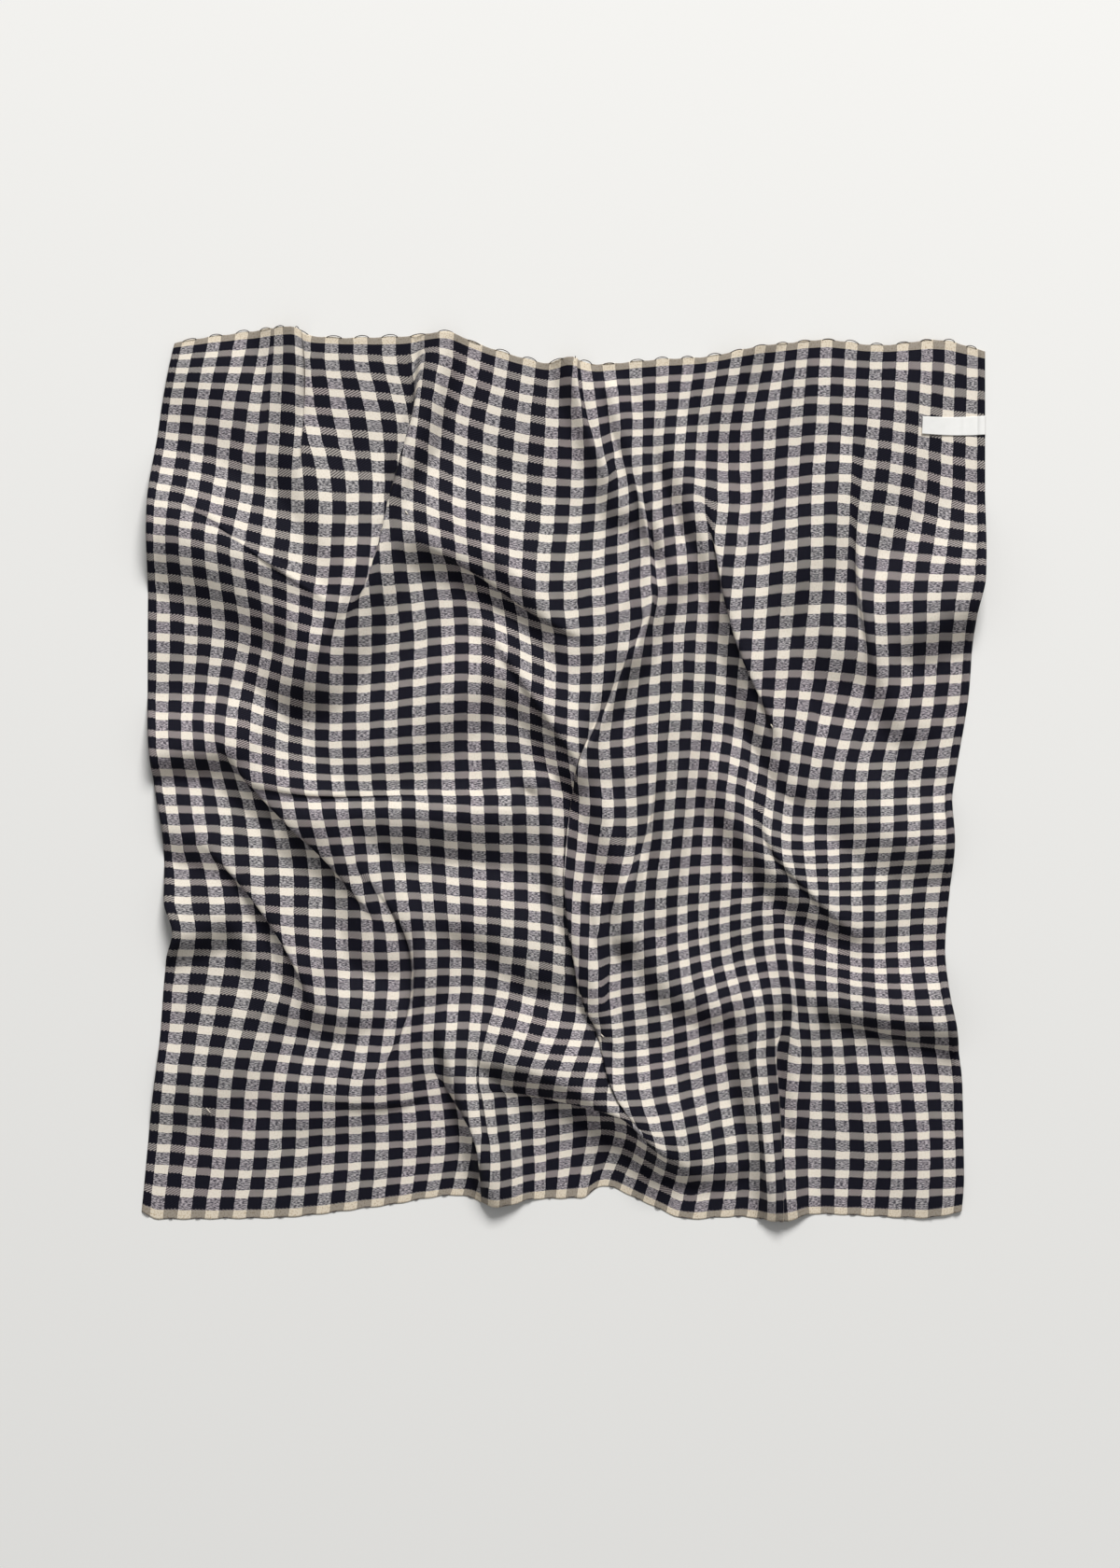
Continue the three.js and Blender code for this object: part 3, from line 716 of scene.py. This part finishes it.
def rise(tree, value, low, high):
    """0 at low and beyond, 1 at high and beyond, and a smooth step between, where low may
    also be the larger one."""
    node = tree.nodes.new("ShaderNodeMapRange")
    node.interpolation_type = "SMOOTHSTEP"
    feed(tree, node.inputs["Value"], value)
    feed(tree, node.inputs["From Min"], low)
    feed(tree, node.inputs["From Max"], high)
    return node.outputs["Result"]


def add_bump(tree, shader, height, strength, depth):
    """Tilts the shader's surface by a height from 0 to 1 that stands for the depth in mm."""
    bump = tree.nodes.new("ShaderNodeBump")
    bump.inputs["Strength"].default_value = strength
    bump.inputs["Distance"].default_value = depth * MM
    feed(tree, bump.inputs["Height"], height)
    tree.links.new(bump.outputs[0], shader.inputs["Normal"])


def set_finish(shader, finish):
    """Sets the shader's own sockets from a table of names and values."""
    for name, value in finish.items():
        shader.inputs[name].default_value = value


def flat_place(tree):
    """Two outputs: millimetres across and down on the flat cloth, from the weave map."""
    uv = tree.nodes.new("ShaderNodeUVMap")
    uv.uv_map = "weave"
    parts = tree.nodes.new("ShaderNodeSeparateXYZ")
    tree.links.new(uv.outputs[0], parts.inputs[0])
    return [calc(tree, "MULTIPLY", parts.outputs[k], 1 / MM) for k in (0, 1)]


# %% Yarn colours, as linear shares of the light
CREAM = (0.780, 0.715, 0.620)
CREAM_SHADE = (0.685, 0.610, 0.510)
NAVY = (0.0040, 0.0039, 0.0078)
NAVY_LIGHT = (0.0170, 0.0168, 0.0280)
TWILL_DARK = (0.045, 0.040, 0.040)
TWILL_LIGHT = (0.435, 0.390, 0.365)
SLUB_DARK = (0.070, 0.067, 0.077)
SLUB_LIGHT = (0.455, 0.425, 0.428)
BAND_CREAM = (0.700, 0.615, 0.490)
BAND_TAN = (0.310, 0.272, 0.225)
PLUM_TINT = (1.02, 0.975, 1.01)
MOSS_TINT = (0.985, 1.0, 0.975)
SILK_FINISH = {
    "Roughness": 0.75, "Specular IOR Level": 0.08, "Sheen Weight": 0.02, "Sheen Roughness": 0.4,
}

# %% Sizes of the weave's marks
TWILL_REPEAT = 6 * THREAD_PITCH
TWILL_LEAN = 1.5
TOOTH_DEPTH = 0.85
TOOTH_IN_CREAM = 0.15
NAVY_SPREAD = 0.5
WANDER = 1.6
# bumps to a millimetre across and down the cloth, and the slice of the noise
COLUMN_WANDER = (0.05, 0.11, 0.0)
ROW_WANDER = (0.11, 0.05, 4.0)
GRAIN_MARKS = (0.9, 0.7, 9.0)
SLUB_MARKS = (0.42, 1.75, 0.0)
TINT_DRIFT = (0.013, 0.013, 2.0)
# where in a noise or a wave the second colour begins and where it is full
GRAIN_STEP = (0.35, 0.8)
TWILL_STEP = (0.05, 0.8)
SLUB_STEP = (0.45, 0.57)
BAND_STEP = (0.45, 0.75)
PLUM_STEP = (0.45, 0.62)
MOSS_STEP = (0.5, 0.36)
GRAIN_ON_TWILL = 0.35
TWILL_RELIEF = 0.4

# %% Where a place lies in the check


def marks(tree, u, down, across, along, z, detail=2.0):
    """Noise on the flat cloth, stretched by its bumps to a millimetre each way."""
    place = (calc(tree, "MULTIPLY", u, across), calc(tree, "MULTIPLY", down, along))
    return noise_at(tree, *place, detail=detail, z=z)


def wandering(tree, place, noise):
    """A place that a noise moves by up to half of WANDER either way."""
    return calc(tree, "ADD", place, calc(tree, "MULTIPLY", calc(tree, "SUBTRACT", noise, 0.5), WANDER))


def check_place(tree, u, down):
    """1 in a cream column and 0 in a navy one, and the same for the rows: the place's share
    of the repeat is held against cream's share of it. Threads wander a little. In navy
    columns the twill's steps cut the row boundaries into teeth, one to a repeat of the
    twill, and navy spreads over its neighbours."""
    wandered_u = wandering(tree, u, marks(tree, u, down, *COLUMN_WANDER))
    from_side = calc(tree, "SUBTRACT", wandered_u, SIDE_COLUMN)
    column = calc(tree, "FRACT", calc(tree, "DIVIDE", from_side, COLUMN_REPEAT))
    cream_column = calc(tree, "LESS_THAN", column, (CREAM_COLUMN - NAVY_SPREAD) / COLUMN_REPEAT)
    tooth = calc(tree, "PINGPONG", u, TWILL_REPEAT / 2)
    tooth = calc(tree, "MULTIPLY", tooth, TOOTH_DEPTH / (TWILL_REPEAT / 2))
    tooth = calc(tree, "MULTIPLY", tooth, calc(tree, "SUBTRACT", 1 + TOOTH_IN_CREAM, cream_column))
    from_top = calc(tree, "ADD", wandering(tree, down, marks(tree, u, down, *ROW_WANDER)), tooth)
    row = calc(tree, "FRACT", calc(tree, "DIVIDE", from_top, ROW_REPEAT))
    row_share = calc(
        tree, "MULTIPLY_ADD", cream_column, NAVY_SPREAD / ROW_REPEAT, (CREAM_ROW - NAVY_SPREAD) / ROW_REPEAT
    )
    cream_row = calc(tree, "LESS_THAN", row, row_share)
    return cream_column, cream_row


def slanted_twill(tree, u, down):
    """A sine of the place across plus the leaning place down: ridges that rise to the right."""
    slant = calc(tree, "MULTIPLY_ADD", down, TWILL_LEAN, u)
    turn = calc(tree, "MULTIPLY", slant, 2 * math.pi / TWILL_REPEAT)
    return calc(tree, "MULTIPLY_ADD", calc(tree, "SINE", turn), 0.5, 0.5)


def with_drift(tree, colour, drift):
    """A mixed yarn's colour, tinted to plum where the drift is high and to moss where low."""
    plum = blend_colours(tree, rise(tree, drift, *PLUM_STEP), colour, PLUM_TINT, way="MULTIPLY")
    return blend_colours(tree, rise(tree, drift, *MOSS_STEP), plum, MOSS_TINT, way="MULTIPLY")


def end_band(tree, cream_column, grain):
    """The woven bands at the two ends: cream and tan blocks with a shaded grain."""
    band = blend_colours(tree, cream_column, BAND_TAN, BAND_CREAM)
    return blend_colours(tree, rise(tree, grain, *BAND_STEP), band, CREAM_SHADE, way="MULTIPLY")


# %% The check as one material


def silk_check():
    """The four kinds of block, chosen by two square waves of the flat place, each with its
    own yarn marks, under a slow drift of tint, and the band over the last row at each end."""
    material, tree, shader = new_material("silk_check")
    u, down = flat_place(tree)
    cream_column, cream_row = check_place(tree, u, down)
    twill = slanted_twill(tree, u, down)
    grain = marks(tree, u, down, *GRAIN_MARKS)
    slub = marks(tree, u, down, *SLUB_MARKS, detail=3.0)
    drift = marks(tree, u, down, *TINT_DRIFT)
    cream = blend_colours(tree, rise(tree, grain, *GRAIN_STEP), CREAM, CREAM_SHADE)
    navy = blend_colours(tree, calc(tree, "MULTIPLY", twill, grain), NAVY, NAVY_LIGHT)
    ridge = calc(tree, "MULTIPLY", rise(tree, twill, *TWILL_STEP), calc(tree, "ADD", grain, GRAIN_ON_TWILL))
    grey = blend_colours(tree, ridge, TWILL_DARK, TWILL_LIGHT)
    lilac = blend_colours(tree, rise(tree, slub, *SLUB_STEP), SLUB_DARK, SLUB_LIGHT)
    in_navy_column = blend_colours(tree, cream_row, navy, with_drift(tree, grey, drift))
    in_cream_column = blend_colours(tree, cream_row, with_drift(tree, lilac, drift), cream)
    colour = blend_colours(tree, cream_column, in_navy_column, in_cream_column)
    from_end = calc(tree, "MINIMUM", down, calc(tree, "SUBTRACT", FLAT_LENGTH, down))
    in_band = calc(tree, "LESS_THAN", from_end, CREAM_ROW)
    colour = blend_colours(tree, in_band, colour, end_band(tree, cream_column, grain))
    feed(tree, shader.inputs["Base Color"], colour)
    set_finish(shader, SILK_FINISH)
    relief = calc(tree, "ADD", slub, calc(tree, "MULTIPLY", twill, TWILL_RELIEF))
    add_bump(tree, shader, relief, strength=0.5, depth=0.2)
    return material


scarf.data.materials.append(silk_check())
print("the check's material has", len(scarf.data.materials[0].node_tree.nodes), "nodes")
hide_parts("scarf_cloth")
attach(scarf, "root")

# %% [markdown]
# ## Yarns that leave the cloth
# Where the cloth ends, the navy weft turns round each cream block of the top border in a
# small loop, and short ends peep out at the bottom. A few snagged slubs stand on the face.
# They could be painted, but they break the outline, so each is a thin tube along a short
# arc. Many arcs are made at once, as one array of points.

# %% Tubes along many short paths
YARN_SIDES = 6
YARN_STEPS = 12
LOOP_FLATNESS = 0.5


def yarn_tubes(name, paths, radius):
    """One mesh of thin tubes. A ring of YARN_SIDES points stands square to each path at each
    step, its radius falling to half at the two ends, and two quads close each end."""
    count, steps, _ = paths.shape
    ahead = np.gradient(paths, axis=1)
    ahead /= np.linalg.norm(ahead, axis=-1, keepdims=True)
    aside = np.cross(ahead, (0.0, 0.0, 1.0))
    aside /= np.linalg.norm(aside, axis=-1, keepdims=True)
    above = np.cross(aside, ahead)
    turn = np.linspace(0, 2 * np.pi, YARN_SIDES, endpoint=False)[:, None]
    thick = radius * (0.5 + 0.5 * np.sqrt(np.sin(np.linspace(0, np.pi, steps)).clip(0)))
    ring = np.cos(turn) * aside[:, :, None] + np.sin(turn) * above[:, :, None]
    points = paths[:, :, None] + thick[None, :, None, None] * ring
    index = np.arange(count * steps * YARN_SIDES).reshape(count, steps, YARN_SIDES)
    beside = np.roll(index, -1, axis=2)
    quads = np.stack([index[:, :-1], index[:, 1:], beside[:, 1:], beside[:, :-1]], axis=-1)
    first, last = index[:, 0], index[:, -1]
    caps = [first[:, [0, 1, 2, 3]], first[:, [0, 3, 4, 5]], last[:, [3, 2, 1, 0]], last[:, [5, 4, 3, 0]]]
    return add_object(name, points.reshape(-1, 3), np.concatenate([quads.reshape(-1, 4), *caps]))


def cloth_top(u, down):
    """Points on the upper face at flat places of any shape, with the cloth's thickness."""
    flat = cloth_points(np.atleast_1d(u).astype(float), np.atleast_1d(down).astype(float))
    flat[..., 2] += CLOTH_THICKNESS
    return flat


def arcs_over(start, end, outward, height):
    """Arcs from start to end places that lean outwards and rise by the height: a half sine
    to the power LOOP_FLATNESS, so they are flat on top and steep at the ends."""
    t = (0.5 - 0.5 * np.cos(np.pi * np.linspace(0, 1, YARN_STEPS + 1)))[None, :, None]
    bow = np.sin(np.pi * t).clip(0) ** LOOP_FLATNESS
    lean = outward[:, None, :] * bow + np.array([0, 0, 1.0]) * bow * height[:, None, None]
    return start[:, None] * (1 - t) + end[:, None] * t + lean


# %% How the yarns stray: ranges in millimetres for the random draws
YARN_RADIUS = 0.32
BORDER_INSET = 0.8
# where an arc starts and ends along the border, and its lean, its reach and its height
LOOP_RANGES = ((-1.5, 1.0), (-1.0, 1.5), (-0.8, 0.8), (1.0, 2.4), (0.4, 1.2))
YARN_END_RANGES = ((1.5, 4.0), (3.0, 6.0), (-1.5, 1.5), (0.2, 1.0), (0.1, 0.5))
SNAG_SLANT = 0.7
SNAG_SWELL = 1.4
SNAGS = (   # column, row, length, height, as counted on the check
    (25.6, 18.6, 3.6, 1.2), (25.0, 17.8, 3.0, 0.9), (18.2, 35.6, 4.0, 1.8),
    (1.4, 41.8, 4.5, 1.6), (9.9, 9.3, 3.0, 0.9), (21.8, 27.3, 3.2, 1.2),
)

# %% Loops at the top border and ends at the bottom one
chance = np.random.default_rng(SEED)


def straying_arcs(after, width, down, outward, ranges):
    """Arcs along a border, one for each given place: each starts near that place, ends about
    a width further on and leans outwards. Also returns where they end."""
    start, end, lean, reach, height = ranges
    count = len(after)
    left = after + chance.uniform(*start, count)
    right = left + width + chance.uniform(*end, count)
    at = np.full(count, down)
    off = np.stack([chance.uniform(*lean, count), outward * chance.uniform(*reach, count), at * 0], axis=1)
    return arcs_over(cloth_top(left, at), cloth_top(right, at), off, chance.uniform(*height, count)), right


block_left = SIDE_COLUMN + np.arange(CREAM_COLUMNS) * COLUMN_REPEAT
loops, loop_right = straying_arcs(block_left, CREAM_COLUMN, BORDER_INSET, 1, LOOP_RANGES)
yarn_ends, _ = straying_arcs(loop_right[:-1], 0, FLAT_LENGTH - BORDER_INSET, -1, YARN_END_RANGES)
border_yarns = yarn_tubes("border_yarns", np.concatenate([loops, yarn_ends]), YARN_RADIUS)
print("yarn loops and ends:", len(loops) + len(yarn_ends))

# %% Snagged slubs on the face
snag_places = np.array(SNAGS)
snag_u, snag_down = block_middle(snag_places[:, 0], snag_places[:, 1])
snag_run = snag_places[:, 2] * SNAG_SLANT
snags = arcs_over(
    cloth_top(snag_u, snag_down), cloth_top(snag_u + snag_run, snag_down + snag_run),
    np.zeros((len(SNAGS), 3)), snag_places[:, 3],
)
snagged_slubs = yarn_tubes("snagged_slubs", snags, YARN_RADIUS * SNAG_SWELL)
print("snags:", len(snags))

# %% Yarn finish
BORDER_YARN_DARK = (0.030, 0.026, 0.030)
BORDER_YARN_LIGHT = (0.120, 0.100, 0.092)
YARN_GRAIN = 1.2
YARN_FINISH = {"Roughness": 0.8, "Specular IOR Level": 0.1}


def yarn_finish(name, dark, light):
    """A plied yarn: a fine noise along the place mixes a dark and a light tone."""
    material, tree, shader = new_material(name)
    where = tree.nodes.new("ShaderNodeTexCoord")
    noise = tree.nodes.new("ShaderNodeTexNoise")
    noise.inputs["Scale"].default_value = 1 / (YARN_GRAIN * MM)
    tree.links.new(where.outputs["Object"], noise.inputs["Vector"])
    twist = rise(tree, noise.outputs["Fac"], 0.4, 0.6)
    feed(tree, shader.inputs["Base Color"], blend_colours(tree, twist, dark, light))
    set_finish(shader, YARN_FINISH)
    add_bump(tree, shader, noise.outputs["Fac"], strength=0.4, depth=0.1)
    return material


for piece, finish in (
    (border_yarns, yarn_finish("navy_yarn", BORDER_YARN_DARK, BORDER_YARN_LIGHT)),
    (snagged_slubs, yarn_finish("cream_yarn", CREAM_SHADE, CREAM)),
):
    piece.data.materials.append(finish)
    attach(piece, "root")

# %% [markdown]
# ## The tape label
# A short white tape is sewn flat near the top right corner, its right end level with the
# side hem. It is bare here. It follows the cloth below it, so it is made from the same flat
# places, a little above them, with its free left end lifted and hanging slightly lower.

# %% Label
# The chart draws the cloth together under the tape, so it covers more flat cloth than its length.
LABEL_LENGTH = 46.0
LABEL_COVERS = 54.5
LABEL_WIDTH = 14.0
LABEL_COVERS_DOWN = 12.4
LABEL_DOWN = 46.5
LABEL_END_DROP = 7.0
LABEL_GAP = 0.3
LABEL_THICKNESS = 0.5
LABEL_LIFT = 0.9
LABEL_CREASE_AT = 0.66
LABEL_CREASE_SHARE = 0.03
LABEL_CREASE = 0.5
LABEL_STEPS = (70, 24)   # grid places along and across

along_label, over_label = np.meshgrid(*(np.linspace(0, 1, steps) for steps in LABEL_STEPS))
label_u = FLAT_WIDTH - LABEL_COVERS * (1 - along_label)
label_down = LABEL_DOWN + LABEL_COVERS_DOWN * over_label + LABEL_END_DROP * (1 - along_label)
label_under = cloth_points(label_u, label_down)
lift = LABEL_LIFT * (1 - along_label) ** 3
lift += LABEL_CREASE * np.exp(-((along_label - LABEL_CREASE_AT) / LABEL_CREASE_SHARE) ** 2)
label_under[..., 2] += cloth_thickness(label_u)[..., 0] + LABEL_GAP + lift
label = make_sheet(
    "label_tape", label_under, label_under + upward(label_under) * LABEL_THICKNESS,
    LABEL_LENGTH * along_label, LABEL_WIDTH * over_label,
)

# %% Label finish
TAPE_WHITE = (0.86, 0.85, 0.82)
# a painted shade that darkens the white tape along its ribs
TAPE_PAINTED_SHADE = (0.70, 0.69, 0.66)
TAPE_RIB = 0.55
TAPE_RIB_DOWN = 1.3 * TAPE_RIB
TAPE_HAZE = (0.15, 0.2, 0.0)
TAPE_FINISH = {"Roughness": 0.5, "Specular IOR Level": 0.3}


def tape_weave():
    """Fine ribs across the tape, the product of two sines; the same wave, times a soft noise, mixes a
    painted shade into the white.
    """
    material, tree, shader = new_material("white_tape")
    u, down = flat_place(tree)
    waves = [
        calc(tree, "SINE", calc(tree, "MULTIPLY", place, 2 * math.pi / pitch))
        for place, pitch in ((u, TAPE_RIB), (down, TAPE_RIB_DOWN))
    ]
    weave = calc(tree, "MULTIPLY_ADD", calc(tree, "MULTIPLY", *waves), 0.5, 0.5)
    haze = marks(tree, u, down, *TAPE_HAZE)
    # the ribs, times the soft noise, mix in the painted shade
    tone = blend_colours(tree, calc(tree, "MULTIPLY", weave, haze), TAPE_WHITE, TAPE_PAINTED_SHADE)
    feed(tree, shader.inputs["Base Color"], tone)
    set_finish(shader, TAPE_FINISH)
    add_bump(tree, shader, weave, strength=0.35, depth=0.1)
    return material


label.data.materials.append(tape_weave())
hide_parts("label_tab")
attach(label, "root")
print("label", label_under.min((0, 1)).round(1), label_under.max((0, 1)).round(1))

# %% [markdown]
# ## The floor, the light and the camera
# The photograph looks straight down on a pale floor. A broad light comes from past the top
# edge, a little to the right, so slopes that fall away towards the bottom go dark. A sun
# would cut hard shadows, so the light is a large square with a pale sky to fill in.

# %% The photograph's frame
PHOTO_WIDTH = 1200
PHOTO_HEIGHT = 1680
MM_PER_PIXEL = 0.70
MIDDLE_PIXEL = (604, 829)

frame_middle = np.array([
    (PHOTO_WIDTH / 2 - MIDDLE_PIXEL[0]) * MM_PER_PIXEL,
    (MIDDLE_PIXEL[1] - PHOTO_HEIGHT / 2) * MM_PER_PIXEL,
    0.0,
])

# %% Floor
FLOOR_SIDE = 5000
FLOOR_DROP = 0.15
FLOOR_FINISH = {
    "Base Color": (0.80, 0.79, 0.765, 1), "Roughness": 0.9, "Specular IOR Level": 0.1,
}

corners = np.array([(-1, -1, 0), (1, -1, 0), (1, 1, 0), (-1, 1, 0)]) * FLOOR_SIDE / 2
floor = add_object("floor", corners - (0, 0, FLOOR_DROP), np.array([[0, 1, 2, 3]]))
floor_material, _, floor_shader = new_material("floor_paint")
set_finish(floor_shader, FLOOR_FINISH)
floor.data.materials.append(floor_material)

# %% Light
LIGHT_AZIMUTH = math.radians(12)
LIGHT_ELEVATION = math.radians(42)
LIGHT_DISTANCE = 7500
LIGHT_SIDE = 2900
LIGHT_POWER = 625
FILL_COLOUR = (0.97, 0.985, 1.0, 1)
FILL_STRENGTH = 0.305


def add_area_light(name, azimuth, elevation, distance, side, power):
    """A square soft box that stands at that bearing from the frame's middle and faces it."""
    data = bpy.data.lights.new(name, "AREA")
    data.shape = "SQUARE"
    data.size = side * MM
    data.energy = power
    light = bpy.data.objects.new(name, data)
    bpy.context.scene.collection.objects.link(light)
    light.location = [
        distance * MM * math.cos(elevation) * math.sin(azimuth),
        distance * MM * math.cos(elevation) * math.cos(azimuth),
        distance * MM * math.sin(elevation),
    ]
    light.rotation_mode = "QUATERNION"
    light.rotation_quaternion = light.location.to_track_quat("Z", "Y")
    return light


key = add_area_light("key", LIGHT_AZIMUTH, LIGHT_ELEVATION, LIGHT_DISTANCE, LIGHT_SIDE, LIGHT_POWER)

world = bpy.data.worlds.new("world")
world.use_nodes = True
world.node_tree.nodes["Background"].inputs["Color"].default_value = FILL_COLOUR
world.node_tree.nodes["Background"].inputs["Strength"].default_value = FILL_STRENGTH
bpy.context.scene.world = world
print("the light stands at", [round(value, 2) for value in key.location], "metres")

# %% Camera
CAMERA_HEIGHT = 3000
CAMERA_REACH = 20000
SENSOR_HEIGHT = 36

camera_data = bpy.data.cameras.new("camera")
camera_data.sensor_fit = "VERTICAL"
camera_data.sensor_height = SENSOR_HEIGHT
camera_data.lens = SENSOR_HEIGHT * CAMERA_HEIGHT / (PHOTO_HEIGHT * MM_PER_PIXEL)
camera_data.clip_end = CAMERA_REACH * MM
camera = bpy.data.objects.new("camera", camera_data)
bpy.context.scene.collection.objects.link(camera)
camera.location = [*((frame_middle + TO_FRAME)[:2] * MM), CAMERA_HEIGHT * MM]
bpy.context.scene.camera = camera
bpy.context.scene.view_settings.view_transform = "Standard"
print(f"the camera's lens is {camera_data.lens:.1f} mm")
